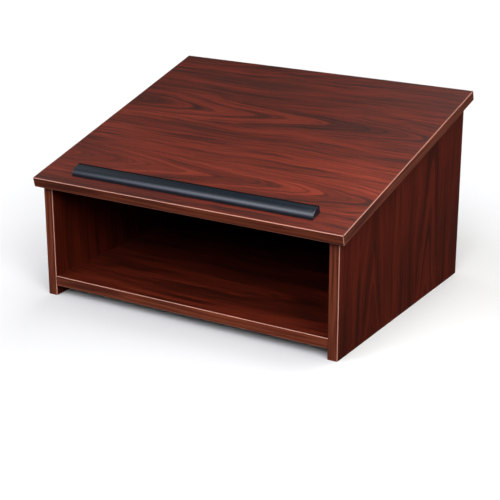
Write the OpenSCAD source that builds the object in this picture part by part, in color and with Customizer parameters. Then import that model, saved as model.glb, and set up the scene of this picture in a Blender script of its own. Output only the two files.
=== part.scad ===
// Tabletop lectern: a sloping reading top on two side panels, with a shelf and a back panel
// between them. All panels are cut from one thickness of laminated board, with edge bands glued
// to the edges that show. Hidden dowels and cam fittings join the panels.
// Sizes are in millimetres. The origin is on the table under the middle of the whole lectern,
// +X is to the reader's right, +Y points away from the reader and +Z is up.

/* [Body] */
// Width across the outer faces of the two side panels
body_w = 578; // [420:1:760]
// Depth of a side panel, front edge to back edge
body_d = 470; // [340:1:600]
// Height of a side panel at its front edge
side_front_h = 201; // [160:1:300]
// Thickness of the laminated board that every panel is cut from
board_t = 18; // [16:0.5:25]
// Open height under the shelf and under the back panel
shelf_gap = 18.5; // [10:0.5:40]

/* [Reading top] */
// Slope of the reading top, in degrees
top_slope = 14.5; // [8:0.5:25]
// How far the reading top stands out past each side panel
top_side_over = 12.5; // [0:0.5:30]
// How far its lower front edge stands out in front of the side panels
top_front_over = 9; // [0:0.5:30]
// How far its lower back edge stands out behind the side panels
top_back_over = 13; // [0:0.5:30]

/* [Edge bands] */
// Thickness of the edge bands
band_t = 2; // [1:0.25:3]
// Width of the 45 degree bevel along the outer edges of the bands
band_bevel = 1; // [0.4:0.1:1]

/* [Book stop] */
// Length of the book stop
stop_len = 470; // [200:1:560]
// Depth of the book stop, nose to back face
stop_depth = 25.5; // [20:0.5:40]
// Height of its back face
stop_h = 12.5; // [9:0.5:25]
// Distance from the front edge of the reading top to the nose, up the slope
stop_setback = 26; // [8:0.5:60]
// Length of the rounded nose
stop_nose = 18; // [4:0.5:20]
// How far the upper face falls from the back face to the nose
stop_fall = 0.5; // [0:0.25:4]
// Distance from each end of the stop to its end screw
stop_screw_end = 35; // [10:1:90]
// Distance from the nose to the row of screws
stop_screw_line = 15; // [10:0.5:18]
// Number of screws that hold the stop
stop_screw_count = 4; // [2:1:8]

/* [Stop screws] */
// Diameter of a screw over its thread
screw_d = 4; // [3:0.25:5]
// Diameter of the screw head
screw_head_d = 8; // [7:0.25:9.5]
// Height of the screw head
screw_head_h = 2.4; // [1.5:0.1:2.5]
// Bevel around the face of the screw head
screw_head_bevel = 0.8; // [0.3:0.1:1.2]
// How deep the head's seat is sunk into the underside of the reading top
screw_seat = 3; // [2:0.25:5]
// How far a screw reaches into the book stop
screw_bite = 7; // [4:0.25:7.5]

/* [Cam fittings] */
// Diameter of a cam lock
cam_d = 15; // [12:0.5:20]
// How far a cam lock reaches past the axis of its bolt
cam_below = 4.5; // [4:0.1:6]
// Distance from the edge of a board to the centre of its cam lock
cam_reach = 34; // [24:0.5:40]
// Diameter of the bolt's shaft
bolt_shaft_d = 6; // [5:0.25:7]
// Diameter of the bolt's thread
bolt_thread_d = 5; // [4:0.25:6]
// Length of the thread that is screwed into the face of a board
bolt_thread_len = 11; // [8:0.5:13]
// Diameter of the bolt's neck, between shaft and head
bolt_neck_d = 3.6; // [3:0.1:4]
// Diameter of the bolt's head
bolt_head_d = 6.4; // [5.5:0.1:7]
// Length of the bolt's head
bolt_head_len = 3; // [2.5:0.25:4]
// Length of the cone at the tip of the head
bolt_head_cone = 1.2; // [0.6:0.1:2]

/* [Dowels] */
// Diameter of a dowel
dowel_d = 8; // [6:0.5:10]
// Length of a dowel
dowel_len = 30; // [24:1:40]
// How deep a dowel sits in the face of a board
dowel_in_face = 12; // [8:0.5:13]
// Bevel at the ends of a dowel
dowel_bevel = 1; // [0.5:0.1:1.5]

/* [Places of the fixings] */
// Distance from the end of a joint to its first dowel
dowel_inset = 37; // [25:1:45]
// Distance from the end of a joint to its first cam bolt
cam_inset = 69; // [60:1:90]
// Distance between the three dowels from the shelf into the back panel
back_dowel_pitch = 160; // [80:1:170]

/* [Fits] */
// Clearance around a dowel, bolt, screw or lock in its bore, on the radius
fit_gap = 0.1; // [0.05:0.05:0.2]
// Clearance at the end of a dowel, bolt or screw in its bore
end_gap = 0.5; // [0.2:0.1:1]
// Clearance around a bolt's shaft or a screw's head in its bore, on the radius
loose_gap = 0.5; // [0.3:0.1:0.8]

/* [Hidden] */
$fn = 48;

// Colours
laminate = [0.48, 0.22, 0.17];
band_wood = [0.42, 0.19, 0.13];
stop_black = [0.16, 0.17, 0.19];
zinc = [0.70, 0.70, 0.72];
steel = [0.78, 0.78, 0.80];
beech = [0.80, 0.66, 0.47];

// The body: clear width inside, and where the shelf and the back panel meet
inner_w = body_w - 2 * board_t;
back_face_y = body_d - board_t;
shelf_mid_z = shelf_gap + board_t / 2;

// The reading top, flat and then lifted onto the slope of the side panels
top_w = body_w + 2 * top_side_over;
top_len = (body_d + top_front_over + top_back_over) / cos(top_slope);
top_front_z = side_front_h - top_front_over * tan(top_slope);
side_slope_start = top_front_over / cos(top_slope);
side_slope_len = body_d / cos(top_slope);

// Half-way between the foremost and the rearmost point of the reading top
middle_y = (body_d + top_back_over - top_front_over - board_t * sin(top_slope)) / 2;

// Cut-out that stands clear of the surface it starts from
over = 1;

// Cam lock: full height, slots in its face, and room around the bolt's head and neck inside
cam_h = board_t / 2 + cam_below;
cam_slot_w = 1.4;
cam_slot_len = 8;
cam_slot_depth = 2.2;
cam_room = 0.3;

// Screw and bolt threads
thread_pitch = 1.6;
thread_depth = 0.5;
screw_slot_w = 1;
screw_slot_len = 4.5;
screw_slot_depth = 1.3;

nose_steps = 20;

// Height of the side panels, and of the back panel, at a distance from the front edge
function roof(y) = side_front_h + y * tan(top_slope);

// Rectangle from the origin with its four corners bevelled
function bevelled(w, h, b) =
  [[b, 0], [w - b, 0], [w, b], [w, h - b], [w - b, h], [b, h], [0, h - b], [0, b]];

// Half outline of a thread from z0 to z1, as radius and height
function thread_side(d, z0, z1) =
  let (n = max(1, floor((z1 - z0) / thread_pitch)), pitch = (z1 - z0) / n)
  [for (i = [0 : n - 1]) each [
    [d / 2 - thread_depth, z0 + i * pitch],
    [d / 2, z0 + (i + 0.5) * pitch]
  ]];

// From the body's own place, front edges at y = 0, to the middle of the whole lectern
module placed() {
  translate([0, -middle_y, 0]) children();
}

// Lies on the slope: y runs up the slope from the top's front edge, z is square to it
module on_slope() {
  placed() translate([0, -top_front_over, top_front_z]) rotate([top_slope, 0, 0]) children();
}

module both_sides() {
  children();
  mirror([1, 0, 0]) children();
}

// Places of the fixings. Local z runs from the joint into the edge of the board that is
// held, and local y points out of the face that its cam locks are sunk into.

// Left side panel to reading top
module at_top_joint(inset) {
  on_slope()
    for (s = [inset, side_slope_len - inset])
      translate([-(body_w - board_t) / 2, side_slope_start + s, 0]) rotate([180, 0, 90]) children();
}

// Left side panel to shelf
module at_shelf_joint(inset) {
  placed()
    for (y = [inset, back_face_y - inset])
      translate([-inner_w / 2, y, shelf_mid_z]) rotate([-90, 0, 0]) rotate([0, 90, 0]) children();
}

// Left side panel to back panel
module at_back_joint(inset) {
  placed()
    for (z = [shelf_gap + inset, roof(back_face_y) - inset])
      translate([-inner_w / 2, body_d - board_t / 2, z]) rotate([180, 0, 0]) rotate([0, 90, 0]) children();
}

// Back panel to the back edge of the shelf
module at_shelf_back_joint() {
  placed()
    for (x = [-back_dowel_pitch, 0, back_dowel_pitch])
      translate([x, back_face_y, shelf_mid_z]) rotate([90, 0, 0]) children();
}

// Book stop to reading top, from the underside of the top
module at_stop_screws() {
  pitch = (stop_len - 2 * stop_screw_end) / (stop_screw_count - 1);
  on_slope()
    for (i = [0 : stop_screw_count - 1])
      translate([i * pitch - stop_len / 2 + stop_screw_end, stop_setback + stop_screw_line, 0]) children();
}

// Beech dowel with bevelled ends
module dowel() {
  translate([0, 0, -dowel_in_face]) rotate_extrude()
    polygon([
      [0, 0], [dowel_d / 2 - dowel_bevel, 0], [dowel_d / 2, dowel_bevel],
      [dowel_d / 2, dowel_len - dowel_bevel], [dowel_d / 2 - dowel_bevel, dowel_len], [0, dowel_len]
    ]);
}

module dowel_bore() {
  translate([0, 0, -dowel_in_face - end_gap])
    cylinder(d = dowel_d + 2 * fit_gap, h = dowel_len + 2 * end_gap);
}

// Steel bolt: its thread is in the face of one board, its head is held by the lock in the other
module cam_bolt() {
  shaft_end = cam_reach - cam_d / 2 - end_gap;
  head_start = cam_reach - bolt_head_len / 2;
  head_end = cam_reach + bolt_head_len / 2;
  rotate_extrude()
    polygon(concat(
      [[0, -bolt_thread_len]],
      thread_side(bolt_thread_d, -bolt_thread_len, 0),
      [
        [bolt_thread_d / 2 - thread_depth, 0], [bolt_shaft_d / 2, 0], [bolt_shaft_d / 2, shaft_end],
        [bolt_neck_d / 2, shaft_end], [bolt_neck_d / 2, head_start],
        [bolt_head_d / 2, head_start], [bolt_head_d / 2, head_end - bolt_head_cone],
        [bolt_neck_d / 2, head_end], [0, head_end]
      ]
    ));
}

// Zinc disc, sunk flush into the face of the board, whose inner channel grips the bolt's head
module cam_lock() {
  translate([0, 0, cam_reach]) difference() {
    translate([0, board_t / 2, 0]) rotate([90, 0, 0]) cylinder(d = cam_d, h = cam_h);
    // Slots for the screwdriver
    for (turn = [0, 90])
      translate([0, board_t / 2, 0]) rotate([0, turn, 0])
        cube([cam_slot_len, 2 * cam_slot_depth, cam_slot_w], center = true);
    // Passage for the bolt's neck
    translate([0, 0, -cam_d]) cylinder(d = bolt_neck_d + 2 * cam_room, h = cam_d);
    // Room for its head
    translate([0, 0, -bolt_head_len / 2 - cam_room])
      cylinder(d = bolt_head_d + 2 * cam_room, h = bolt_head_len + 2 * cam_room);
    // Way in for the head before the lock is turned
    rotate([0, 90, 0]) cylinder(d = bolt_head_d + 2 * cam_room, h = cam_d);
  }
}

module cam_bores() {
  // Pilot bore for the thread, in the face of the joined board
  translate([0, 0, -bolt_thread_len - end_gap])
    cylinder(d = bolt_thread_d + 2 * fit_gap, h = bolt_thread_len + end_gap + over);
  // Bore for the shaft, in the edge
  cylinder(d = bolt_shaft_d + 2 * loose_gap, h = cam_reach);
  // Seat of the lock
  translate([0, board_t / 2 + over, cam_reach]) rotate([90, 0, 0])
    cylinder(d = cam_d + 2 * fit_gap, h = cam_h + fit_gap + over);
}

// Screw from the underside of the reading top up into the book stop
module stop_screw() {
  tip = board_t + screw_bite;
  face = screw_seat - screw_head_h;
  difference() {
    rotate_extrude()
      polygon(concat(
        [[0, face], [screw_head_d / 2 - screw_head_bevel, face],
         [screw_head_d / 2, face + screw_head_bevel], [screw_head_d / 2, screw_seat]],
        thread_side(screw_d, screw_seat, tip),
        [[screw_d / 2 - thread_depth, tip], [0, tip]]
      ));
    for (turn = [0, 90])
      translate([0, 0, face]) rotate([0, 0, turn])
        cube([screw_slot_len, screw_slot_w, 2 * screw_slot_depth], center = true);
  }
}

module stop_screw_bores() {
  cylinder(d = screw_d + 2 * fit_gap, h = board_t + screw_bite + end_gap);
  translate([0, 0, -over]) cylinder(d = screw_head_d + 2 * loose_gap, h = screw_seat + over);
}

// Reading top

// The whole top with every outer edge bevelled
module top_block() {
  translate([-top_w / 2, 0, 0]) intersection() {
    linear_extrude(board_t) polygon(bevelled(top_w, top_len, band_bevel));
    rotate([90, 0, 90]) linear_extrude(top_w) polygon(bevelled(top_len, board_t, band_bevel));
    translate([0, top_len, 0]) rotate([90, 0, 0])
      linear_extrude(top_len) polygon(bevelled(top_w, board_t, band_bevel));
  }
}

// The part of the top between two distances up the slope and two widths
module top_piece(x0, x1, s0, s1) {
  on_slope() intersection() {
    top_block();
    translate([x0, s0, -over]) cube([x1 - x0, s1 - s0, board_t + 2 * over]);
  }
}

module top_board() {
  color(laminate) difference() {
    top_piece(-top_w / 2 + band_t, top_w / 2 - band_t, band_t, top_len - band_t);
    both_sides() {
      at_top_joint(dowel_inset) dowel_bore();
      at_top_joint(cam_inset) cam_bores();
    }
    at_stop_screws() stop_screw_bores();
  }
}

module top_front_band() {
  color(band_wood) top_piece(-top_w / 2, top_w / 2, 0, band_t);
}

module top_back_band() {
  color(band_wood) top_piece(-top_w / 2, top_w / 2, top_len - band_t, top_len);
}

module top_left_band() {
  color(band_wood) top_piece(-top_w / 2, -top_w / 2 + band_t, band_t, top_len - band_t);
}

module top_right_band() {
  color(band_wood) top_piece(top_w / 2 - band_t, top_w / 2, band_t, top_len - band_t);
}

// Side panels

// The part of the left side panel between two distances from its front edge, with the front
// and back edges bevelled
module side_piece(y0, y1) {
  placed() translate([-body_w / 2, 0, 0]) intersection() {
    rotate([90, 0, 90]) linear_extrude(board_t)
      polygon([[y0, 0], [y1, 0], [y1, roof(y1)], [y0, roof(y0)]]);
    linear_extrude(roof(body_d) + over) polygon(bevelled(board_t, body_d, band_bevel));
  }
}

module side_board() {
  color(laminate) difference() {
    side_piece(band_t, body_d - band_t);
    at_top_joint(dowel_inset) dowel_bore();
    at_top_joint(cam_inset) cam_bores();
    at_shelf_joint(dowel_inset) dowel_bore();
    at_shelf_joint(cam_inset) cam_bores();
    at_back_joint(dowel_inset) dowel_bore();
    at_back_joint(cam_inset) cam_bores();
  }
}

module side_front_band() {
  color(band_wood) side_piece(0, band_t);
}

module side_back_band() {
  color(band_wood) side_piece(body_d - band_t, body_d);
}

module left_side_board() {
  side_board();
}

module left_front_band() {
  side_front_band();
}

module left_back_band() {
  side_back_band();
}

module right_side_board() {
  mirror([1, 0, 0]) side_board();
}

module right_front_band() {
  mirror([1, 0, 0]) side_front_band();
}

module right_back_band() {
  mirror([1, 0, 0]) side_back_band();
}

// Shelf

module shelf_board() {
  color(laminate) difference() {
    placed() translate([-inner_w / 2, band_t, shelf_gap])
      cube([inner_w, back_face_y - band_t, board_t]);
    both_sides() {
      at_shelf_joint(dowel_inset) dowel_bore();
      at_shelf_joint(cam_inset) cam_bores();
    }
    at_shelf_back_joint() dowel_bore();
  }
}

module shelf_front_band() {
  color(band_wood) placed() translate([-inner_w / 2, 0, shelf_gap])
    rotate([90, 0, 90]) linear_extrude(inner_w) polygon([
      [band_bevel, 0], [band_t, 0], [band_t, board_t], [band_bevel, board_t],
      [0, board_t - band_bevel], [0, band_bevel]
    ]);
}

// Back panel

module back_board() {
  foot = shelf_gap + band_t;
  color(laminate) difference() {
    placed() translate([-inner_w / 2, 0, 0]) rotate([90, 0, 90]) linear_extrude(inner_w)
      polygon([[back_face_y, foot], [body_d, foot], [body_d, roof(body_d)], [back_face_y, roof(back_face_y)]]);
    both_sides() {
      at_back_joint(dowel_inset) dowel_bore();
      at_back_joint(cam_inset) cam_bores();
    }
    at_shelf_back_joint() dowel_bore();
  }
}

module back_bottom_band() {
  color(band_wood) placed() translate([-inner_w / 2, back_face_y, shelf_gap])
    rotate([90, 0, 90]) linear_extrude(inner_w) polygon([
      [band_bevel, 0], [board_t - band_bevel, 0], [board_t, band_bevel], [board_t, band_t],
      [0, band_t], [0, band_bevel]
    ]);
}

// Book stop

module book_stop() {
  nose_h = stop_h - stop_fall;
  outline = concat(
    [[stop_depth, 0], [stop_depth, stop_h]],
    [for (i = [0 : nose_steps])
      let (turn = 90 * i / nose_steps)
      [stop_nose * (1 - sin(turn)), nose_h * cos(turn)]]
  );
  color(stop_black) difference() {
    on_slope() translate([-stop_len / 2, stop_setback, board_t])
      rotate([90, 0, 90]) linear_extrude(stop_len) polygon(outline);
    at_stop_screws() stop_screw_bores();
  }
}

module book_stop_screws() {
  color(steel) at_stop_screws() stop_screw();
}

// Fixings

module top_dowels() {
  color(beech) both_sides() at_top_joint(dowel_inset) dowel();
}

module top_cam_bolts() {
  color(steel) both_sides() at_top_joint(cam_inset) cam_bolt();
}

module top_cam_locks() {
  color(zinc) both_sides() at_top_joint(cam_inset) cam_lock();
}

module shelf_dowels() {
  color(beech) both_sides() at_shelf_joint(dowel_inset) dowel();
}

module shelf_cam_bolts() {
  color(steel) both_sides() at_shelf_joint(cam_inset) cam_bolt();
}

module shelf_cam_locks() {
  color(zinc) both_sides() at_shelf_joint(cam_inset) cam_lock();
}

module back_dowels() {
  color(beech) both_sides() at_back_joint(dowel_inset) dowel();
}

module back_cam_bolts() {
  color(steel) both_sides() at_back_joint(cam_inset) cam_bolt();
}

module back_cam_locks() {
  color(zinc) both_sides() at_back_joint(cam_inset) cam_lock();
}

module shelf_back_dowels() {
  color(beech) at_shelf_back_joint() dowel();
}

top_board();
top_front_band();
top_back_band();
top_left_band();
top_right_band();
left_side_board();
left_front_band();
left_back_band();
right_side_board();
right_front_band();
right_back_band();
shelf_board();
shelf_front_band();
back_board();
back_bottom_band();
book_stop();
book_stop_screws();
top_dowels();
top_cam_bolts();
top_cam_locks();
shelf_dowels();
shelf_cam_bolts();
shelf_cam_locks();
back_dowels();
back_cam_bolts();
back_cam_locks();
shelf_back_dowels();
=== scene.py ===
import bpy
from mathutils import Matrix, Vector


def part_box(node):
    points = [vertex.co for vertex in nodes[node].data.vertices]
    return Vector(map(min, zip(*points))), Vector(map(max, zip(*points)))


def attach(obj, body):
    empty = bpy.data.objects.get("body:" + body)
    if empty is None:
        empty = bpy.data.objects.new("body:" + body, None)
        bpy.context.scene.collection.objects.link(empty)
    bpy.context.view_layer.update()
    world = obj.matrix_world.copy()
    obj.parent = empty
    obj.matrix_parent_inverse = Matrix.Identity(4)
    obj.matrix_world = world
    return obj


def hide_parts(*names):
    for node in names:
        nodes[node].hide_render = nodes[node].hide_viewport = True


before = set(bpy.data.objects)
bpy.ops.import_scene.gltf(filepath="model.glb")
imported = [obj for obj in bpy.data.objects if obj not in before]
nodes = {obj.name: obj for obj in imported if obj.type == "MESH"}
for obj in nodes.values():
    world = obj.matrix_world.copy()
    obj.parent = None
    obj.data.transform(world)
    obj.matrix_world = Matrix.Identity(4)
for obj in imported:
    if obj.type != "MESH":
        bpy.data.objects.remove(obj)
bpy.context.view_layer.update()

import math

import bmesh
import bpy
from mathutils import Matrix, Vector

# Side panels
# Two uprights of 18 mm particle board with a printed wood-grain laminate fused to both faces.
# They are sawn to size with the grain upright, and their lower edges stay raw.

right, back, up = Vector((1, 0, 0)), Vector((0, 1, 0)), Vector((0, 0, 1))
board_thickness = 0.018
skin_thickness = 0.0003


def srgb(red, green, blue):
    """A colour given as it shows on a screen, from 0 to 255, as the light it stands for."""
    shares = (c / 255 for c in (red, green, blue))
    return tuple(c / 12.92 if c < 0.04045 else ((c + 0.055) / 1.055) ** 2.4 for c in shares)


def add(tree, kind, inputs=(), **settings):
    """Puts a shader node in the tree, sets it, and fills its sockets with values or links."""
    made = tree.nodes.new("ShaderNode" + kind)
    for name, value in settings.items():
        setattr(made, name, value)
    pairs = inputs.items() if isinstance(inputs, dict) else enumerate(inputs)
    for socket, value in pairs:
        if isinstance(value, bpy.types.NodeSocket):
            tree.links.new(value, made.inputs[socket])
        else:
            made.inputs[socket].default_value = value
    return made


def calc(tree, operation, *values):
    return add(tree, "Math", values, operation=operation).outputs[0]


def blend(tree, share, first, second):
    """From the first value to the second as share goes from 0 to 1."""
    return add(tree, "Mix", {0: share, 2: first, 3: second}, data_type="FLOAT").outputs[0]


def blend_colours(tree, share, first, second):
    pair = [c if isinstance(c, bpy.types.NodeSocket) else (*c, 1.0) for c in (first, second)]
    return add(tree, "Mix", {0: share, 6: pair[0], 7: pair[1]}, data_type="RGBA").outputs[2]


def fade(tree, value, low, high, at_low=0.0, at_high=1.0):
    """Goes smoothly from at_low to at_high while value goes from low to high."""
    inputs = (value, low, high, at_low, at_high)
    return add(tree, "MapRange", inputs, interpolation_type="SMOOTHSTEP").outputs[0]


def noise(tree, x, y, detail=1.0):
    """Smooth noise over two lengths, each counted in its own wavelengths."""
    place = add(tree, "CombineXYZ", (x, y)).outputs[0]
    inputs = {"Vector": place, "Scale": 1.0, "Detail": detail, "Roughness": 0.55}
    return add(tree, "TexNoise", inputs, noise_dimensions="2D").outputs[0]


def shades(tree, value, stops):
    """A row of colours, each at its own value."""
    made = add(tree, "ValToRGB", (value,))
    bar = made.color_ramp
    while len(bar.elements) < len(stops):
        bar.elements.new(0.5)
    for element, (place, colour) in zip(bar.elements, stops):
        element.position = place
        element.color = (*colour, 1.0)
    return made.outputs[0]


def new_group(name, inputs, outputs):
    """An empty node group, with its input and output sockets: (tree, what is given, results)."""
    tree = bpy.data.node_groups.new(name, "ShaderNodeTree")
    for in_out, sockets in (("INPUT", inputs), ("OUTPUT", outputs)):
        for label, value in sockets.items():
            kind = "NodeSocketFloat" if isinstance(value, float) else "NodeSocket" + value
            made = tree.interface.new_socket(label, in_out=in_out, socket_type=kind)
            if isinstance(value, float):
                made.default_value = value
    given = tree.nodes.new("NodeGroupInput").outputs
    results = tree.nodes.new("NodeGroupOutput").inputs
    return tree, given, results


def place_group(tree, group, inputs):
    return add(tree, "Group", inputs, node_tree=group).outputs


# The inks of the print, from its darkest tone to its palest
wood_shades = (
    (0.0, srgb(42, 16, 10)),
    (0.2, srgb(61, 20, 11)),
    (0.4, srgb(85, 27, 14)),
    (0.6, srgb(106, 36, 20)),
    (0.8, srgb(122, 47, 32)),
    (1.0, srgb(134, 60, 47)),
)
pore_shade = srgb(40, 12, 9)
# The growth rings of the two kinds of row: how far along the print each lies, and its tone
ring_tones = (
    (
        (0.0, 0.50), (0.09, 0.62), (0.14, 0.50), (0.16, 0.28), (0.29, 0.20),
        (0.31, 0.74), (0.325, 0.42), (0.42, 0.22), (0.44, 0.30), (0.45, 0.78),
        (0.49, 0.50), (0.55, 0.16), (0.63, 0.14), (0.68, 0.60), (0.765, 0.60),
        (0.775, 0.22), (0.80, 0.16), (0.88, 0.34), (1.0, 0.50),
    ),
    (
        (0.0, 0.50), (0.08, 0.48), (0.14, 0.14), (0.23, 0.12), (0.262, 0.62),
        (0.285, 0.60), (0.297, 0.08), (0.33, 0.42), (0.37, 0.64), (0.455, 0.55),
        (0.470, 0.04), (0.490, 0.02), (0.505, 0.64), (0.56, 0.80), (0.65, 0.62),
        (0.68, 0.22), (0.73, 0.0), (0.79, 0.12), (0.85, 0.46), (1.0, 0.50),
    ),
)


def printed_grain():
    """The printed wood, with its lengths in millimetres. Growth rings cut at a slant make rows of
    pointed arches, of two kinds in turn, and the fibres run straight between the rows."""
    inputs = {
        "Vector": "Vector",
        "Row Centre": 100.0,
        "Shift": 0.0,
        "Figure": 1.0,
        "Contrast": 1.0,
        "Lightness": 0.0,
    }
    outputs = {"Colour": "Color", "Tone": 0.5, "Pores": 0.0}
    tree, given, results = new_group("printed_grain", inputs, outputs)
    place = add(tree, "SeparateXYZ", (given["Vector"],)).outputs
    row_spacing, print_length, ring_taper = 215.0, 800.0, 0.13

    def run(operation, *values):
        return calc(tree, operation, *values)

    def over(length, wavelength):
        return run("DIVIDE", length, wavelength)

    def about_zero(value, size):
        return run("MULTIPLY_ADD", value, size, -size / 2)

    along = run("MULTIPLY_ADD", place[0], 1000.0, given["Shift"])
    across = run("MULTIPLY_ADD", place[1], 1000.0, run("MULTIPLY", given["Row Centre"], -1.0))
    # The fibres sway slowly to either side, with small ripples
    bend = about_zero(noise(tree, over(along, 330.0), over(across, 120.0)), 30.0)
    ripple = about_zero(noise(tree, over(along, 48.0), over(across, 26.0)), 5.0)
    side = run("ADD", across, run("ADD", bend, ripple))
    # The row a point lies in, its distance from the row's middle, and the ring that passes there
    row = run("ROUND", over(side, row_spacing))
    other_kind = run("PINGPONG", row, 1.0)
    off_row = run("ABSOLUTE", run("SUBTRACT", side, run("MULTIPLY", row, row_spacing)))
    heart = run("MULTIPLY_ADD", noise(tree, over(along, 120.0), row, 0.0), 14.0, 4.0)
    slant = run("SQRT", run("ADD", run("MULTIPLY", off_row, off_row), run("MULTIPLY", heart, heart)))
    ring = run("MULTIPLY_ADD", along, ring_taper, run("SUBTRACT", slant, heart))
    arches = run("MULTIPLY", fade(tree, off_row, 22.0, 60.0, 1.0, 0.0), given["Figure"])

    def grain_noise(thickness, length, detail):
        """Streaks that follow the rings within a row and run straight between the rows."""
        straight = noise(tree, over(along, length), over(side, thickness), detail)
        curved = noise(tree, over(ring, thickness), over(along, length), detail)
        return blend(tree, arches, straight, curved)

    # The print repeats along its length, and each ring has a ragged edge
    ragged = about_zero(grain_noise(4.0, 70.0, 2.0), 4.0)
    laps = over(run("ADD", ring, ragged), print_length * ring_taper)
    lap = run("WRAP", run("ADD", laps, 0.5), 1.0, 0.0)
    kinds = [shades(tree, lap, [(stop, (tone, tone, tone)) for stop, tone in rings])
             for rings in ring_tones]
    ring_tone = add(tree, "SeparateColor", (blend_colours(tree, other_kind, *kinds),)).outputs[0]
    band = about_zero(noise(tree, over(along, 900.0), over(side, 38.0)), 0.7)
    figure = blend(tree, arches, band, run("MULTIPLY_ADD", ring_tone, 0.7, -0.35))
    # Soft streaks, thin dark lines and hairs over the figure
    streak = about_zero(grain_noise(13.0, 330.0, 1.0), 0.45)
    line_field = grain_noise(4.2, 210.0, 1.0)
    lines = fade(tree, line_field, 0.32, 0.50, -0.30, 0.08)
    hairs = about_zero(noise(tree, over(along, 60.0), over(side, 1.3), 2.0), 0.7)
    relief = run("ADD", figure, run("ADD", streak, run("ADD", lines, hairs)))
    tone = run("MULTIPLY_ADD", relief, given["Contrast"], run("ADD", given["Lightness"], 0.5))
    colour = shades(tree, run("MULTIPLY", tone, 0.8), wood_shades)
    pores = fade(tree, noise(tree, over(along, 6.0), over(across, 0.4)), 0.62, 0.72)
    colour = blend_colours(tree, run("MULTIPLY", pores, 0.3), colour, pore_shade)
    tree.links.new(colour, results["Colour"])
    tree.links.new(tone, results["Tone"])
    tree.links.new(pores, results["Pores"])
    return tree


def particle_core():
    """Pressed wood chips as a saw leaves them: coarse in the middle and fine near the faces."""
    outputs = {"Colour": "Color", "Height": 0.5}
    tree, given, results = new_group("particle_core", {"Vector": "Vector"}, outputs)
    # The press leaves the chips lying flat
    chips_per_metre = (420.0, 420.0, 1150.0)
    flat = add(tree, "VectorMath", (given["Vector"], chips_per_metre), operation="MULTIPLY").outputs[0]
    chips = add(tree, "TexVoronoi", {"Vector": flat, "Scale": 1.0, "Randomness": 1.0})
    dust = add(tree, "TexNoise", {"Vector": flat, "Scale": 3.1, "Detail": 3.0}).outputs[0]
    chip_tone = add(tree, "SeparateColor", (chips.outputs["Color"],)).outputs[0]
    tone = calc(tree, "MULTIPLY_ADD", dust, 0.45, calc(tree, "MULTIPLY", chip_tone, 0.6))
    colour = shades(tree, tone, (
        (0.10, srgb(112, 82, 52)),
        (0.45, srgb(168, 132, 90)),
        (0.85, srgb(205, 173, 128)),
    ))
    tree.links.new(colour, results["Colour"])
    tree.links.new(tone, results["Height"])
    return tree


def board_skin():
    """1 in the printed skin on either face of a board, 0 in its core."""
    tree, given, results = new_group("board_skin", {"Vector": "Vector"}, {"Skin": 0.0})
    through = calc(tree, "ABSOLUTE", add(tree, "SeparateXYZ", (given["Vector"],)).outputs[2])
    skin = calc(tree, "GREATER_THAN", through, board_thickness / 2 - skin_thickness)
    tree.links.new(skin, results["Skin"])
    return tree


def grain_space(tree, origin, along, across):
    """Coordinates that lie in a piece: along its grain, across it, and through the piece."""
    turn = Matrix((along, across, along.cross(across)))
    settings = {
        "Vector": add(tree, "TexCoord").outputs["Object"],
        "Location": -(turn @ Vector(origin)),
        "Rotation": turn.to_euler(),
    }
    return add(tree, "Mapping", settings).outputs[0]


def new_material(name):
    """An empty material with its surface: (material, tree, surface)."""
    made = bpy.data.materials.new(name)
    made.use_nodes = True
    tree = made.node_tree
    surface = tree.nodes["Principled BSDF"]
    return made, tree, surface


GRAIN, CORE, SKIN = printed_grain(), particle_core(), board_skin()


def laminated_board(name, origin, along, across, cut, sheen=0.25, drift=None):
    """Satin laminate over a particle core. The origin lies in the middle of the board's thickness,
    cut says which stretch of the print the board was sawn from and how strong it came out, and
    drift how its lightness varies over the board."""
    made, tree, surface = new_material(name)
    surface.inputs["Specular IOR Level"].default_value = sheen
    place = grain_space(tree, origin, along, across)
    shade = {"Lightness": drift(tree, place)} if drift else {}
    grain = place_group(tree, GRAIN, {"Vector": place, **cut, **shade})
    core = place_group(tree, CORE, {"Vector": place})
    skin = place_group(tree, SKIN, {"Vector": place})["Skin"]
    smudges = add(tree, "TexNoise", {"Vector": place, "Scale": 9.0, "Detail": 3.0}).outputs[0]
    satin = calc(tree, "MULTIPLY_ADD", grain["Pores"], 0.12, 0.33)
    satin = calc(tree, "MULTIPLY_ADD", smudges, 0.10, satin)
    height = blend(tree, skin, calc(tree, "MULTIPLY", core["Height"], 4.0),
                   calc(tree, "MULTIPLY", grain["Pores"], -0.35))
    bump = add(tree, "Bump", {"Strength": 0.5, "Distance": 0.0001, "Height": height})
    colour = blend_colours(tree, skin, core["Colour"], grain["Colour"])
    tree.links.new(colour, surface.inputs["Base Color"])
    tree.links.new(blend(tree, skin, 0.85, satin), surface.inputs["Roughness"])
    tree.links.new(bump.outputs[0], surface.inputs["Normal"])
    return made


def finish_node(node, material):
    """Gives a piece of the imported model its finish."""
    mesh = nodes[node].data
    mesh.materials.clear()
    mesh.materials.append(material)


def right_panel_painted_sheen(tree, place):
    """Painted sheen: the right panel's laminate is made paler towards its sloping top edge, in place of
    the grazing reflection there.
    """
    height, from_middle = add(tree, "SeparateXYZ", (place,)).outputs[:2]
    # That edge rises 0.26 for each length that it runs back
    off_slope_height = calc(tree, "MULTIPLY_ADD", from_middle, -0.26, height)
    return fade(tree, off_slope_height, 0.06, 0.25, 0.0, 0.17)


for side, cut, drift in (
    ("left", {"Row Centre": -60.0, "Shift": 250.0, "Figure": 0.3, "Contrast": 0.65}, None),
    ("right", {"Row Centre": -113.0, "Shift": -140.0, "Contrast": 0.8}, right_panel_painted_sheen),
):
    low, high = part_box(side + "_side_board")
    middle = ((low.x + high.x) / 2, (low.y + high.y) / 2, 0)
    laminate = laminated_board(side + "_side_laminate", middle, up, back, cut, sheen=0.10, drift=drift)
    finish_node(side + "_side_board", laminate)

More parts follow.
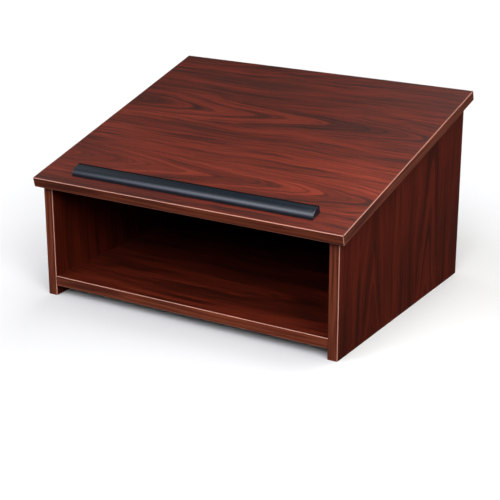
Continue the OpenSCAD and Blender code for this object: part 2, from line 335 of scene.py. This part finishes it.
# Shelf
# The same laminated board laid flat between the side panels, with its grain running across
# the lectern. Dowels and cam bolts hold its two ends.

low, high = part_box("shelf_board")
cut = {"Shift": 330.0, "Figure": 0.4, "Contrast": 1.35}
finish_node("shelf_board", laminated_board("shelf_laminate", (low + high) / 2, right, back, cut))

# Back panel
# The same board again, upright between the side panels behind the shelf, with upright grain.
# Dowels and cam bolts hold it, so that it closes the storage space and keeps the box square.

low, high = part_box("back_board")
# The back panel's print is darkened, a painted shade for the deep inside of the storage space
cut = {"Row Centre": 30.0, "Shift": 520.0, "Lightness": -0.12}
finish_node("back_board", laminated_board("back_laminate", (low + high) / 2, up, right, cut))

# Reading top
# The largest board, with its grain across the lectern in two rows of pointed arches. Dowels
# and cam bolts hold it down on the sloping edges of the side panels.

top_slope = math.radians(14.5)
up_slope = Vector((0, math.cos(top_slope), math.sin(top_slope)))
off_slope = right.cross(up_slope)


def extent(node, direction):
    """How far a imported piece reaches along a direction: (least, most)."""
    reach = [v.co.dot(direction) for v in nodes[node].data.vertices]
    return min(reach), max(reach)


front_edge = extent("top_front_band", up_slope)[0]
back_edge = extent("top_back_band", up_slope)[1]
top_under = extent("top_board", off_slope)[0]
# The lower front edge of the top, in the middle of its width
on_slope = Matrix.Translation(up_slope * front_edge + off_slope * top_under)
on_slope @= Matrix((right, up_slope, off_slope)).transposed().to_4x4()
middle_of_front = on_slope @ Vector((0, 0, board_thickness / 2))


def top_drift(tree, place):
    """Paler in a broad streak behind the book stop, more so to the right, and darker towards the back.
    """
    sideways, upwards = add(tree, "SeparateXYZ", (place,)).outputs[:2]
    streak_middle = calc(tree, "MULTIPLY_ADD", sideways, 0.14, 0.118)
    off_middle = calc(tree, "ABSOLUTE", calc(tree, "SUBTRACT", upwards, streak_middle))
    strength = calc(tree, "MULTIPLY_ADD", sideways, 0.18, 0.18)
    pale = calc(tree, "MULTIPLY", fade(tree, off_middle, 0.01, 0.08, 1.0, 0.0), strength)
    towards_back = fade(tree, upwards, 0.26, 0.46)
    darkest = fade(tree, sideways, -0.05, 0.15, -0.14, -0.05)
    return calc(tree, "ADD", pale, calc(tree, "MULTIPLY", towards_back, darkest))


top_laminate = laminated_board("top_laminate", middle_of_front, right, up_slope, {}, drift=top_drift)
finish_node("top_board", top_laminate)

# Edge bands
# PVC strip, 2 mm thick, glued around the edges of the boards. Its outer face is printed like
# the laminate, and the cutter that trims its edges to a bevel lays the paler plastic bare.

band_thickness = 0.002
band_bevel = 0.001
bevel_facets, bevel_profile = 4, 0.42
bare_plastic, scored_plastic = srgb(232, 176, 158), srgb(190, 128, 108)
pale_streak = srgb(142, 72, 45)
glue_line, glue_shade = 0.00015, srgb(38, 18, 14)


def block(low, high, bevelled):
    """A closed block with the edges bevelled that run along the axes named."""
    mesh = bmesh.new()
    bmesh.ops.create_cube(mesh, size=1.0)
    for v in mesh.verts:
        v.co = [high[i] if v.co[i] > 0 else low[i] for i in range(3)]
    axes = ["xyz".index(axis) for axis in bevelled]
    chosen = [e for e in mesh.edges
              if any(abs(e.verts[1].co[i] - e.verts[0].co[i]) > band_bevel for i in axes)]
    bmesh.ops.bevel(mesh, geom=chosen, offset=band_bevel, offset_type="OFFSET",
                    segments=bevel_facets, profile=bevel_profile, affect="EDGES")
    return mesh


def keep_between(mesh, axis, low, high):
    """Saws off what lies outside two planes square to an axis, and closes the cuts."""
    direction = (right, back, up)["xyz".index(axis)]
    for limit, outward in ((low, -direction), (high, direction)):
        parts = mesh.verts[:] + mesh.edges[:] + mesh.faces[:]
        cut = bmesh.ops.bisect_plane(mesh, geom=parts, plane_co=direction * limit, plane_no=outward,
                                     clear_outer=True)
        rim = [e for e in cut["geom_cut"] if isinstance(e, bmesh.types.BMEdge)]
        if rim:
            bmesh.ops.edgeloop_fill(mesh, edges=rim)


def new_piece(name, mesh, materials, slot, *replaced):
    """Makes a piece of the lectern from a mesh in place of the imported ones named."""
    bmesh.ops.recalc_face_normals(mesh, faces=mesh.faces)
    data = bpy.data.meshes.new(name)
    mesh.to_mesh(data)
    mesh.free()
    piece = bpy.data.objects.new(name, data)
    bpy.context.scene.collection.objects.link(piece)
    for material in materials:
        data.materials.append(material)
    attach(piece, "root")
    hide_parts(*replaced)
    return piece


def band_print(name, origin, along, across):
    """Printed face of a band, with the dark glue line where it meets the board."""
    made, tree, surface = new_material(name)
    surface.inputs["Specular IOR Level"].default_value = 0.45
    place = grain_space(tree, origin, along, across)
    grain = place_group(tree, GRAIN, {"Vector": place, "Figure": 0.0, "Shift": 90.0})
    length, width, depth = add(tree, "SeparateXYZ", (place,)).outputs
    streak = noise(tree, calc(tree, "MULTIPLY", length, 7.0), calc(tree, "MULTIPLY", width, 250.0), 2.0)
    share = fade(tree, streak, 0.32, 0.68, 0.12, 0.80)
    lighter = blend_colours(tree, share, grain["Colour"], pale_streak)
    glued = calc(tree, "LESS_THAN", calc(tree, "ADD", depth, band_thickness), glue_line)
    colour = blend_colours(tree, calc(tree, "MULTIPLY", glued, 0.8), lighter, glue_shade)
    height = calc(tree, "MULTIPLY", grain["Pores"], -0.4)
    bump = add(tree, "Bump", {"Strength": 0.4, "Distance": 0.0001, "Height": height})
    tree.links.new(colour, surface.inputs["Base Color"])
    tree.links.new(calc(tree, "MULTIPLY_ADD", grain["Tone"], -0.12, 0.48), surface.inputs["Roughness"])
    tree.links.new(bump.outputs[0], surface.inputs["Normal"])
    return made


def trimmed_plastic():
    """Bare band plastic, faintly scored by the teeth of the trimming cutter."""
    made, tree, surface = new_material("trimmed_band_edge")
    place = add(tree, "TexCoord").outputs["Object"]
    scores = add(tree, "TexNoise", {"Vector": place, "Scale": 900.0, "Detail": 1.0}).outputs[0]
    patches = add(tree, "TexNoise", {"Vector": place, "Scale": 35.0, "Detail": 2.0}).outputs[0]
    tone = calc(tree, "MULTIPLY_ADD", scores, 0.3, calc(tree, "MULTIPLY", patches, 0.5))
    colour = blend_colours(tree, tone, bare_plastic, scored_plastic)
    tree.links.new(colour, surface.inputs["Base Color"])
    tree.links.new(calc(tree, "MULTIPLY_ADD", scores, 0.2, 0.4), surface.inputs["Roughness"])
    return made


BARE_EDGE = trimmed_plastic()


def band(node, mesh, along, outward, place=Matrix(), bare_from=0.0, shaded_side=Vector()):
    """One band. Its flat faces are printed, and its bevel facets are bare where they lean outwards by
    more than bare_from; facets leaning to the side given last keep the print as painted shade."""
    mesh.normal_update()
    facing = place.to_3x3().transposed() @ outward
    for face in mesh.faces:
        flat = max(abs(c) for c in face.normal) > 0.999
        trimmed = not flat and face.normal.dot(shaded_side) < 0.1
        face.material_index = 1 if trimmed and bare_from < face.normal.dot(facing) < 0.95 else 0
    mesh.transform(place)
    outer = max((v.co for v in mesh.verts), key=lambda p: p.dot(outward))
    name = node.replace("_band", "_edging")
    face_print = band_print(name + "_print", outer, along, outward.cross(along))
    new_piece(name, mesh, (face_print, BARE_EDGE), "edge_band", node)


top_width = 2 * extent("top_right_band", right)[1]
top_length = back_edge - front_edge
for node, axis, low, high, along, outward, bare_from in (
    ("top_front_band", "y", 0, band_thickness, right, -up_slope, 0.55),
    ("top_back_band", "y", top_length - band_thickness, top_length, right, up_slope, 0.70),
    ("top_left_band", "x", -top_width / 2, band_thickness - top_width / 2, up_slope, -right, 0.70),
    ("top_right_band", "x", top_width / 2 - band_thickness, top_width / 2, up_slope, right, 0.70),
):
    mesh = block((-top_width / 2, 0, 0), (top_width / 2, top_length, board_thickness), "xyz")
    keep_between(mesh, axis, low, high)
    if axis == "x":
        keep_between(mesh, "y", band_thickness, top_length - band_thickness)
    band(node, mesh, along, outward, on_slope, bare_from)

for side in ("left", "right"):
    outer_low, outer_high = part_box(side + "_front_band")[0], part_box(side + "_back_band")[1]
    front_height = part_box(side + "_front_band")[1].z - band_thickness * math.tan(top_slope)
    for node, axis_low, axis_high, outward in (
        (side + "_front_band", outer_low.y, outer_low.y + band_thickness, -back),
        (side + "_back_band", outer_high.y - band_thickness, outer_high.y, back),
    ):
        mesh = block(outer_low, outer_high, "z")
        for v in mesh.verts:
            if v.co.z > outer_low.z:
                v.co.z = front_height + (v.co.y - outer_low.y) * math.tan(top_slope)
        keep_between(mesh, "y", axis_low, axis_high)
        # The right panels' inner bevels keep the print, as painted shade
        band(node, mesh, up, outward, shaded_side=Vector() if side == "left" else -right)

low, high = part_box("shelf_front_band")[0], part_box("shelf_board")[1]
mesh = block(low, high, "x")
keep_between(mesh, "y", low.y, low.y + band_thickness)
band("shelf_front_band", mesh, right, -back, bare_from=0.6)

low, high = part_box("back_bottom_band")[0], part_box("back_board")[1]
mesh = block(low, high, "x")
keep_between(mesh, "z", low.z, low.z + band_thickness)
band("back_bottom_band", mesh, right, -up)

# Book stop
# An extruded strip of satin black rubber, with a rounded nose towards the reader and a painted
# shadow along its back edge. Screws that are driven up through the reading top hold it.

stop_nose = 0.018
stop_fall = 0.0005
nose_facets = 24
stop_end_round = 0.0012
stop_back_round = 0.0020
# How far the painted shadow reaches over the upper face from the back
shadow_border = 0.0046
round_facets = 5
# The polish ends between these distances from the front edge of the top, and runs askew
polish_start, polish_end, polish_slant = 0.0290, 0.0365, -0.015


def join_rings(mesh, rings, second_finish=0):
    """Joins rings of points into a closed skin. In each strip between two rings, the first faces
    take the second material, as many as second_finish says."""
    for first, second in zip(rings, rings[1:]):
        for i in range(len(first)):
            j = (i + 1) % len(first)
            face = mesh.faces.new((first[i], first[j], second[j], second[i]))
            face.material_index = 1 if i < second_finish else 0
    mesh.faces.new(rings[0])
    mesh.faces.new(rings[-1])


def stop_outline(inset):
    """Rounded back edge, its border that carries the painted shadow, the nearly level upper face and
    the long rounded nose, all drawn in by inset."""
    depth, height = stop_depth - inset, stop_height - inset
    points = [(depth, 0)]
    for i in range(round_facets + 1):
        turn = math.pi / 2 * i / round_facets
        points.append((depth - stop_back_round * (1 - math.cos(turn)),
                       height - stop_back_round * (1 - math.sin(turn))))
    share = (shadow_border - stop_back_round) / (depth - stop_back_round - stop_nose)
    points.append((depth - shadow_border, height - stop_fall * share))
    for i in range(nose_facets + 1):
        turn = math.pi / 2 * i / nose_facets
        points.append((inset + (stop_nose - inset) * (1 - math.sin(turn)),
                       (height - stop_fall) * math.cos(turn)))
    return points


def satin_rubber():
    """Blue-black rubber, with draw marks along it and a nose that hands have polished."""
    made, tree, surface = new_material("stop_rubber")
    surface.inputs["Specular Tint"].default_value = (0.82, 0.90, 1.0, 1.0)
    surface.inputs["Specular IOR Level"].default_value = 0.14
    surface.inputs["Coat Roughness"].default_value = 0.34
    surface.inputs["Coat IOR"].default_value = 1.8
    place = grain_space(tree, middle_of_front, right, up_slope)
    sideways, upwards = add(tree, "SeparateXYZ", (place,)).outputs[:2]
    drawn = noise(tree, calc(tree, "MULTIPLY", sideways, 9.0),
                  calc(tree, "MULTIPLY", upwards, 1600.0), 2.0)
    mottle = add(tree, "TexNoise", {"Vector": place, "Scale": 60.0, "Detail": 4.0}).outputs[0]
    colour = blend_colours(tree, mottle, srgb(14, 20, 27), srgb(23, 29, 37))
    askew = calc(tree, "MULTIPLY_ADD", sideways, polish_slant, upwards)
    polish = fade(tree, askew, polish_start, polish_end, 0.74, 0.0)
    bump = add(tree, "Bump", {"Strength": 0.12, "Distance": 0.0001, "Height": drawn})
    tree.links.new(colour, surface.inputs["Base Color"])
    tree.links.new(calc(tree, "MULTIPLY_ADD", mottle, 0.06, 0.24), surface.inputs["Roughness"])
    tree.links.new(polish, surface.inputs["Coat Weight"])
    tree.links.new(bump.outputs[0], surface.inputs["Normal"])
    return made


def painted_shadow_rubber():
    """Painted shadow: a near-black, dull finish on the strip's back edge, in place of the shade that
    falls behind the strip.
    """
    made, tree, surface = new_material("stop_edge_painted_shadow")
    surface.inputs["Specular IOR Level"].default_value = 0.05
    place = add(tree, "TexCoord").outputs["Object"]
    mottle = add(tree, "TexNoise", {"Vector": place, "Scale": 60.0, "Detail": 4.0}).outputs[0]
    colour = blend_colours(tree, mottle, srgb(8, 5, 5), srgb(16, 9, 9))
    tree.links.new(colour, surface.inputs["Base Color"])
    tree.links.new(calc(tree, "MULTIPLY_ADD", mottle, 0.1, 0.8), surface.inputs["Roughness"])
    return made


stop_low = extent("book_stop", right)[0]
stop_front, stop_back = (s - front_edge for s in extent("book_stop", up_slope))
stop_top = extent("book_stop", off_slope)[1] - top_under
stop_depth, stop_height = stop_back - stop_front, stop_top - board_thickness
mesh = bmesh.new()
rings = []
for side in (-1, 1):
    for i in range(round_facets + 1):
        turn = math.pi / 2 * (i if side < 0 else round_facets - i) / round_facets
        inset = stop_end_round * (1 - math.sin(turn))
        x = -side * (stop_low + stop_end_round * (1 - math.cos(turn)))
        rings.append([mesh.verts.new((x, stop_front + s, board_thickness + h))
                      for s, h in stop_outline(inset)])
# The back face, the facets of its round and the border take the painted shadow
join_rings(mesh, rings, second_finish=round_facets + 2)
mesh.transform(on_slope)
strip = new_piece("book_stop_strip", mesh, (satin_rubber(), painted_shadow_rubber()), "stop_rubber", "book_stop")
strip.data.shade_smooth()
strip.data.set_sharp_from_angle(angle=math.radians(12))

# Book stop screws
# Four zinc-plated steel screws with cross-slotted heads. They are driven up through the reading
# top from below, and their threads bite into the stop.

thread_pitch, thread_depth = 0.0016, 0.0005
rings_per_turn = 8
tip_share = 0.35
screw_head_radius, screw_head_height, screw_head_edge = 0.004, 0.0024, 0.0010
head_facets = 5
screw_radius, screw_length, screw_point = 0.002, 0.0244, 0.003
# Cutting tools start this far outside the face that they cut
tool_rise = 0.0005


def solids(node):
    """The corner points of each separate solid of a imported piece."""
    mesh = bmesh.new()
    mesh.from_mesh(nodes[node].data)
    bmesh.ops.remove_doubles(mesh, verts=mesh.verts, dist=0.000001)
    waiting = set(mesh.verts)
    found = []
    for start in mesh.verts:
        if start not in waiting:
            continue
        waiting.remove(start)
        reached = [start]
        for v in reached:
            for other in [edge.other_vert(v) for edge in v.link_edges]:
                if other in waiting:
                    waiting.remove(other)
                    reached.append(other)
        found.append([v.co.copy() for v in reached])
    mesh.free()
    return found


def seats(node, axis, facing, anchor):
    """Where each solid of a node sits: +Z along the axis, +Y the way it faces, and the origin at
    the anchor, given in shares of its box. Axis and facing are mirrored for the right side."""
    found = []
    for points in solids(node):
        mirror = -1 if sum(p.x for p in points) > 0 else 1
        z_axis, y_axis = (Vector((mirror * v.x, v.y, v.z)) for v in (axis, facing))
        turn = Matrix((y_axis.cross(z_axis), y_axis, z_axis)).transposed()
        inside = [turn.transposed() @ p for p in points]
        low, high = ([pick(p[i] for p in inside) for i in range(3)] for pick in (min, max))
        base = turn @ Vector([low[i] + (high[i] - low[i]) * anchor[i] for i in range(3)])
        found.append(Matrix.Translation(base) @ turn.to_4x4())
    return found


def turned(outline, shape=None, steps=32):
    """A solid turned about Z from a half outline of (radius, height); shape may vary the radius."""
    mesh = bmesh.new()
    rings = []
    for radius, height in outline:
        ring = []
        for i in range(steps):
            turn = 2 * math.pi * i / steps
            r = shape(radius, height, turn) if shape else radius
            ring.append(mesh.verts.new((r * math.cos(turn), r * math.sin(turn), height)))
        rings.append(ring)
    join_rings(mesh, rings)
    return mesh


def threaded(radius, start, end, point):
    """Half outline of a threaded shank between two heights, with a point of the given length."""
    steps = round((end - start) / thread_pitch * rings_per_turn)
    outline = []
    for i in range(steps + 1):
        height = start + (end - start) * i / steps
        towards_tip = radius * tip_share + (end - height) * radius * (1 - tip_share) / point
        outline.append((min(radius, towards_tip), height))
    return outline


def thread_groove(start, end):
    """A shape that winds a thread around the part of a solid between two heights."""
    def shape(radius, height, turn):
        if not start < height < end:
            return radius
        phase = (height / thread_pitch - turn / (2 * math.pi)) % 1.0
        run_out = min(1.0, (height - start) / thread_pitch, (end - height) / thread_pitch)
        return radius - thread_depth * abs(2 * phase - 1) * run_out
    return shape


def cross_tool(reach, width, depth, taper):
    """A tapering cross that cuts a screwdriver recess downwards from the level of z = 0."""
    mesh = bmesh.new()
    rings = []
    for height, share in ((tool_rise, 1.0), (-depth, taper)):
        r, w = reach * share, width / 2 * share
        corners = ((r, -w), (r, w), (w, w), (w, r), (-w, r), (-w, w),
                   (-r, w), (-r, -w), (-w, -w), (-w, -r), (w, -r), (w, -w))
        rings.append([mesh.verts.new((x, y, height)) for x, y in corners])
    join_rings(mesh, rings)
    return mesh


def cut_away(mesh, tools):
    """Cuts the tools out of a mesh."""
    made = []
    for shape in (mesh, *tools):
        bmesh.ops.recalc_face_normals(shape, faces=shape.faces)
        data = bpy.data.meshes.new("blank")
        shape.to_mesh(data)
        shape.free()
        made.append(bpy.data.objects.new("blank", data))
        bpy.context.scene.collection.objects.link(made[-1])
    for tool in made[1:]:
        cut = made[0].modifiers.new("cut", "BOOLEAN")
        cut.operation, cut.solver, cut.object = "DIFFERENCE", "EXACT", tool
    whole = made[0].evaluated_get(bpy.context.evaluated_depsgraph_get())
    result = bmesh.new()
    result.from_mesh(whole.to_mesh())
    whole.to_mesh_clear()
    for piece in made:
        data = piece.data
        bpy.data.objects.remove(piece)
        bpy.data.meshes.remove(data)
    bmesh.ops.dissolve_degenerate(result, edges=result.edges, dist=0.000001)
    return result


def set_of(name, shape, places, material, slot, node):
    """Like fittings as one piece: the same shape in every place."""
    whole = bmesh.new()
    for place in places:
        data = bpy.data.meshes.new("copy")
        shape.to_mesh(data)
        data.transform(place)
        whole.from_mesh(data)
        bpy.data.meshes.remove(data)
    piece = new_piece(name, whole, (material,), slot, node)
    piece.data.shade_smooth()
    piece.data.set_sharp_from_angle(angle=math.radians(32))


def plated_steel():
    """Bright zinc plating, a little uneven and faintly yellow in places."""
    made, tree, surface = new_material("plated_steel")
    place = add(tree, "TexCoord").outputs["Object"]
    cloud = add(tree, "TexNoise", {"Vector": place, "Scale": 220.0, "Detail": 3.0}).outputs[0]
    grit = add(tree, "TexNoise", {"Vector": place, "Scale": 1900.0, "Detail": 2.0}).outputs[0]
    colour = shades(tree, cloud, (
        (0.30, (0.52, 0.53, 0.56)),
        (0.55, (0.70, 0.71, 0.73)),
        (0.75, (0.70, 0.66, 0.55)),
    ))
    surface.inputs["Metallic"].default_value = 1.0
    tree.links.new(colour, surface.inputs["Base Color"])
    tree.links.new(calc(tree, "MULTIPLY_ADD", grit, 0.25, 0.18), surface.inputs["Roughness"])
    return made


PLATED_STEEL = plated_steel()
head = []
for i in range(head_facets + 1):
    turn = math.pi / 2 * i / head_facets
    head.append((screw_head_radius - screw_head_edge * (1 - math.sin(turn)),
                 screw_head_edge * (1 - math.cos(turn))))
head.append((screw_head_radius, screw_head_height))
shank = threaded(screw_radius, screw_head_height, screw_length, screw_point)
screw = turned(head + shank, thread_groove(screw_head_height, screw_length))
recess = cross_tool(reach=0.00225, width=0.001, depth=0.0013, taper=0.6)
recess.transform(Matrix.Rotation(math.pi, 4, "X"))
screw = cut_away(screw, [recess])
places = seats("book_stop_screws", off_slope, up_slope, (0.5, 0.5, 0))
set_of("book_stop_plated_screws", screw, places, PLATED_STEEL, "bright_steel", "book_stop_screws")

# Dowels
# Turned beech pins with bevelled ends and pressed flutes that let the glue rise. They are glued
# into the edges of the held boards, and slide into blind holes in the other boards' faces.

dowel_radius, dowel_length, dowel_bevel = 0.004, 0.030, 0.001
flute_count, flute_depth = 12, 0.0003
# The joints at the side panels: the way a fitting's length points there, and the way it faces
panel_joints = (
    ("top", -off_slope, right),
    ("shelf", right, -up),
    ("back", right, -back),
)


def fluted(radius, height, turn):
    """Rounded grooves, cut between the bevelled ends."""
    if radius < dowel_radius:
        return radius
    return radius - flute_depth * max(0.0, -math.cos(flute_count * turn)) ** 0.5


def beech(name, along, across):
    """Raw beech: pale, with fine dark flecks and faint year rings along its length."""
    made, tree, surface = new_material(name)
    place = add(tree, "SeparateXYZ", (grain_space(tree, (0, 0, 0), along, across),)).outputs
    length, width, height = (calc(tree, "MULTIPLY", part, 1000.0) for part in place)
    rings = noise(tree, calc(tree, "DIVIDE", length, 60.0), calc(tree, "ADD", width, height), 1.0)
    stretched = add(tree, "CombineXYZ", (
        calc(tree, "DIVIDE", length, 1.8),
        calc(tree, "MULTIPLY", width, 3.5),
        calc(tree, "MULTIPLY", height, 3.5),
    )).outputs[0]
    flecks = add(tree, "TexNoise", {"Vector": stretched, "Scale": 1.0, "Detail": 1.0}).outputs[0]
    colour = shades(tree, rings, (
        (0.25, srgb(182, 140, 96)),
        (0.55, srgb(208, 168, 122)),
        (0.80, srgb(222, 188, 146)),
    ))
    share = fade(tree, flecks, 0.58, 0.70, 0.0, 0.55)
    colour = blend_colours(tree, share, colour, srgb(140, 92, 56))
    bump = add(tree, "Bump", {"Strength": 0.4, "Distance": 0.0001, "Height": flecks})
    tree.links.new(colour, surface.inputs["Base Color"])
    tree.links.new(calc(tree, "MULTIPLY_ADD", flecks, 0.2, 0.6), surface.inputs["Roughness"])
    tree.links.new(bump.outputs[0], surface.inputs["Normal"])
    return made


outline = [
    (dowel_radius - dowel_bevel, 0),
    (dowel_radius, dowel_bevel),
    (dowel_radius, dowel_length - dowel_bevel),
    (dowel_radius - dowel_bevel, dowel_length),
]
dowel = turned(outline, fluted, steps=6 * flute_count)
for joint, axis, facing in (*panel_joints, ("shelf_back", -back, up)):
    places = seats(joint + "_dowels", axis, facing, (0.5, 0.5, 0))
    wood = beech(joint + "_beech", axis, facing)
    set_of(joint + "_beech_pins", dowel, places, wood, "beech", joint + "_dowels")

# Cam bolts
# Plated steel bolts: the coarse thread of each is screwed into the face of one board, and its
# head reaches through the edge of the other board into a cam lock.

bolt_thread_length, bolt_thread_radius, bolt_point = 0.011, 0.0025, 0.002
bolt_shaft_radius, bolt_shaft_end, bolt_shaft_bevel = 0.003, 0.026, 0.0003
bolt_neck_radius = 0.0018
bolt_head_radius, bolt_head_start, bolt_head_end = 0.0032, 0.0325, 0.0355
bolt_head_cone, bolt_edge = 0.0012, 0.0002

pointed = threaded(bolt_thread_radius, 0, bolt_thread_length, bolt_point)
thread = [(radius, bolt_thread_length - height) for radius, height in reversed(pointed)]
shaft = [
    (bolt_thread_radius, 0),
    (bolt_shaft_radius, bolt_edge),
    (bolt_shaft_radius, bolt_shaft_end - bolt_shaft_bevel),
    (bolt_shaft_radius - bolt_shaft_bevel, bolt_shaft_end),
    (bolt_neck_radius, bolt_shaft_end),
    (bolt_neck_radius, bolt_head_start),
    (bolt_head_radius - bolt_edge, bolt_head_start),
    (bolt_head_radius, bolt_head_start + bolt_edge),
    (bolt_head_radius, bolt_head_end - bolt_head_cone),
    (bolt_neck_radius, bolt_head_end),
]
outline = thread[:-1] + [(radius, height + bolt_thread_length) for radius, height in shaft]
bolt = turned(outline, thread_groove(0, bolt_thread_length))
recess = cross_tool(reach=0.0015, width=0.0008, depth=0.0012, taper=0.6)
recess.transform(Matrix.Translation((0, 0, bolt_thread_length + bolt_head_end)))
bolt = cut_away(bolt, [recess])
for joint, axis, facing in panel_joints:
    places = seats(joint + "_cam_bolts", axis, facing, (0.5, 0.5, 0))
    set_of(joint + "_plated_bolts", bolt, places, PLATED_STEEL, "bright_steel", joint + "_cam_bolts")

# Cam locks
# Die-cast zinc discs, sunk flush into the boards' hidden faces. A screwdriver turns the cross
# recess, and the channel inside draws the bolt's head in and grips it.

lock_radius, lock_height, lock_edge = 0.0075, 0.0135, 0.0004
# The channel lies this deep, wide enough for the bolt's neck, and wider around the bolt's head
channel_depth, channel_reach = 0.009, 0.010
channel_neck_radius, channel_head_radius, channel_head_half = 0.0021, 0.0035, 0.0018
arrow_half_width, arrow_base, arrow_tip, arrow_depth = 0.001, 0.0048, 0.0064, 0.0003


def rod(radius, start, end, turn=Matrix()):
    """A round bar between two heights, then turned."""
    mesh = turned([(radius, start), (radius, end)])
    mesh.transform(turn)
    return mesh


def arrow_tool():
    """A shallow arrowhead that shows which way the lock takes the bolt."""
    mesh = bmesh.new()
    corners = ((-arrow_half_width, -arrow_base), (arrow_half_width, -arrow_base), (0, -arrow_tip))
    rings = [[mesh.verts.new((x, y, z)) for x, z in corners] for y in (tool_rise, -arrow_depth)]
    join_rings(mesh, rings)
    return mesh


def cast_zinc():
    """Dull grey casting skin with a fine grain and darker pits."""
    made, tree, surface = new_material("cast_zinc")
    place = add(tree, "TexCoord").outputs["Object"]
    grain = add(tree, "TexNoise", {"Vector": place, "Scale": 1500.0, "Detail": 3.0}).outputs[0]
    cloud = add(tree, "TexNoise", {"Vector": place, "Scale": 150.0, "Detail": 2.0}).outputs[0]
    tone = calc(tree, "MULTIPLY_ADD", grain, 0.5, calc(tree, "MULTIPLY", cloud, 0.5))
    colour = shades(tree, tone, (
        (0.30, (0.24, 0.24, 0.25)),
        (0.50, (0.42, 0.42, 0.44)),
        (0.70, (0.56, 0.56, 0.58)),
    ))
    bump = add(tree, "Bump", {"Strength": 0.4, "Distance": 0.0001, "Height": grain})
    surface.inputs["Metallic"].default_value = 1.0
    tree.links.new(colour, surface.inputs["Base Color"])
    tree.links.new(calc(tree, "MULTIPLY_ADD", grain, 0.3, 0.35), surface.inputs["Roughness"])
    tree.links.new(bump.outputs[0], surface.inputs["Normal"])
    return made


outline = [
    (lock_radius - lock_edge, -lock_height),
    (lock_radius, lock_edge - lock_height),
    (lock_radius, -lock_edge),
    (lock_radius - lock_edge, 0),
]
lock = turned(outline)
recess = cross_tool(reach=0.004, width=0.0014, depth=0.0022, taper=0.75)
for tool in (lock, recess):
    tool.transform(Matrix.Rotation(-math.pi / 2, 4, "X"))
channel = [
    rod(channel_neck_radius, -channel_reach, 0),
    rod(channel_head_radius, -channel_head_half, channel_head_half),
    rod(channel_head_radius, 0, channel_reach, Matrix.Rotation(math.pi / 2, 4, "Y")),
]
for tool in channel:
    tool.transform(Matrix.Translation((0, -channel_depth, 0)))
lock = cut_away(lock, [recess, arrow_tool(), *channel])
CAST_ZINC = cast_zinc()
for joint, axis, facing in panel_joints:
    places = seats(joint + "_cam_locks", axis, facing, (0.5, 1, 0.5))
    set_of(joint + "_zinc_locks", lock, places, CAST_ZINC, "zinc", joint + "_cam_locks")

# Studio
# A pale floor under soft lights that hang all around and above, most of them towards the
# front. The camera looks down at the lectern from its front right corner.

camera_place = (1.20337, -2.01624, 0.89653)
camera_turn, camera_dip = math.radians(31.105), math.radians(19.539)
camera_lens = 99.62
floor_reach = 9
lamp_place, lamp_aim = Vector((0.32, -0.22, 0.52)), Vector((0.20, -0.15, 0.23))

camera = bpy.data.objects.new("camera", bpy.data.cameras.new("camera"))
camera.data.lens = camera_lens
camera.location = camera_place
camera.rotation_euler = (math.pi / 2 - camera_dip, 0, camera_turn)
bpy.context.scene.collection.objects.link(camera)
bpy.context.scene.camera = camera

floor_mesh = bpy.data.meshes.new("floor")
corners = [(x * floor_reach, y * floor_reach, 0) for x, y in ((-1, -1), (1, -1), (1, 1), (-1, 1))]
floor_mesh.from_pydata(corners, [], [(0, 1, 2, 3)])
floor = bpy.data.objects.new("floor", floor_mesh)
bpy.context.scene.collection.objects.link(floor)
made, tree, surface = new_material("pale_floor")
looked_at = add(tree, "LightPath").outputs["Is Camera Ray"]
surface.inputs["Roughness"].default_value = 1.0
surface.inputs["Specular IOR Level"].default_value = 0.0
# The floor throws little light back at the lectern, and still looks pale to the camera
colour = blend_colours(tree, looked_at, (0.06, 0.06, 0.06), (0.88, 0.88, 0.87))
tree.links.new(colour, surface.inputs["Base Color"])
floor_mesh.materials.append(made)

# Soft lights around the lectern: where each one hangs, how far it spreads in degrees, how
# bright it is and its colour. The first is as cool as daylight.
white, daylight = (1.0, 1.0, 1.0), (0.95, 1.02, 1.36)
softboxes = (
    ((-0.50, -0.60, 0.62), 24, 1.85, daylight),
    ((-0.25, -0.58, 0.78), 20, 2.60, white),
    ((0.20, -0.82, 0.54), 16, 7.10, white),
    ((-0.85, 0.00, 0.50), 40, 1.45, white),
    ((0.72, -0.45, 0.55), 20, 8.40, white),
    ((0.10, 0.50, 0.85), 35, 1.75, white),
    ((0.10, 0.90, 0.40), 35, 1.20, white),
    ((0.00, 0.98, 0.16), 25, 3.00, white),
)
world = bpy.data.worlds.new("studio")
world.use_nodes = True
bpy.context.scene.world = world
tree = world.node_tree
facing = add(tree, "TexCoord").outputs["Generated"]
glow = (0.0, 0.0, 0.0)
for place, spread, strength, colour in softboxes:
    towards = add(tree, "VectorMath", (facing, Vector(place).normalized()), operation="DOT_PRODUCT")
    box = fade(tree, towards.outputs["Value"], math.cos(math.radians(spread)), 1.0, 0.0, strength)
    light = add(tree, "VectorMath", {0: colour, "Scale": box}, operation="SCALE").outputs[0]
    glow = add(tree, "VectorMath", (light, glow), operation="ADD").outputs[0]
seen = add(tree, "LightPath").outputs["Is Camera Ray"]
tree.links.new(blend_colours(tree, seen, glow, white), tree.nodes["Background"].inputs["Color"])

# A small lamp close above the right front of the top
lamp = bpy.data.lights.new("reading_light", "AREA")
lamp.size = 0.2
lamp.energy = 1.05
reading_light = bpy.data.objects.new("reading_light", lamp)
reading_light.location = lamp_place
reading_light.rotation_euler = (lamp_aim - lamp_place).to_track_quat("-Z", "Y").to_euler()
bpy.context.scene.collection.objects.link(reading_light)
bpy.context.scene.view_settings.view_transform = "Standard"
